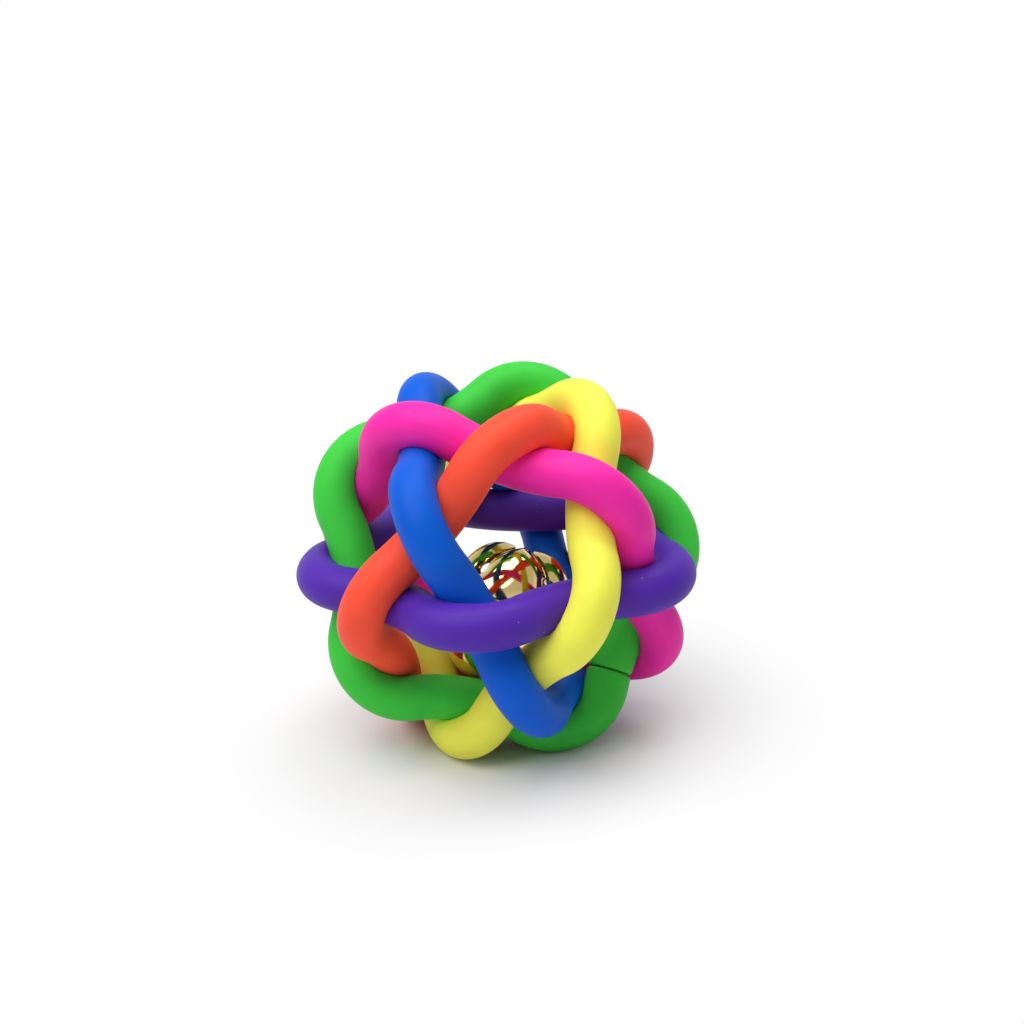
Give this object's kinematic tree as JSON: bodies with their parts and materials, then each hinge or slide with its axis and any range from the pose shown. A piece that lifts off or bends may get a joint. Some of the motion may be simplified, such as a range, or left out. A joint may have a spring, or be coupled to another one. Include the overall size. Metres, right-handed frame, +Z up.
{
  "type": "woven rubber bell ball",
  "caption": "Openwork ball woven from rainbow-coloured rubber strands, with a loose gold jingle bell inside; a pet toy or rattle.",
  "frame": {"origin": "centre of the ring of five crossings that the ball stands on, at floor level, under the ball's centre", "axes": "+Z up, square to the level ring, which is also the ball's shortest extent on this stand; +Y along the ball's longest extent; -Y is the side with the bell's slots in sight; right-handed, metres"},
  "size_m": [0.0678, 0.07, 0.0615],
  "materials": {
    "purple_rubber": "smooth moulded rubber, satin to matte",
    "blue_rubber": "smooth moulded rubber, satin to matte",
    "magenta_rubber": "smooth moulded rubber, satin to matte",
    "orange_rubber": "smooth moulded rubber, satin to matte",
    "yellow_rubber": "smooth moulded rubber, satin to matte",
    "green_rubber": "smooth moulded rubber, satin to matte",
    "plug_plastic": "moulded polypropylene",
    "gold_plated_brass": "polished, gold plated",
    "bare_steel": "plain, bright"
  },
  "bodies": {
    "cage": {"purple_strand": "purple_rubber", "blue_strand": "blue_rubber", "magenta_strand": "magenta_rubber", "orange_strand": "orange_rubber", "yellow_strand": "yellow_rubber", "green_strand": "green_rubber", "purple_plug": "plug_plastic", "blue_plug": "plug_plastic", "magenta_plug": "plug_plastic", "orange_plug": "plug_plastic", "yellow_plug": "plug_plastic", "green_plug": "plug_plastic"},
    "bell": {"bell_loop_shell": "gold_plated_brass", "bell_slotted_shell": "gold_plated_brass", "bell_loop": "gold_plated_brass"},
    "pellet": {"bell_pellet": "bare_steel"}
  },
  "joints": [
    {"name": "bell_rattle", "type": "slide", "parent": "cage", "child": "bell", "axis": [0, 0, 1], "range_m": [0, 0.0196]},
    {"name": "pellet_rattle", "type": "slide", "parent": "bell", "child": "pellet", "axis": [0, 0, 1], "range_m": [0, 0.017]}
  ]
}
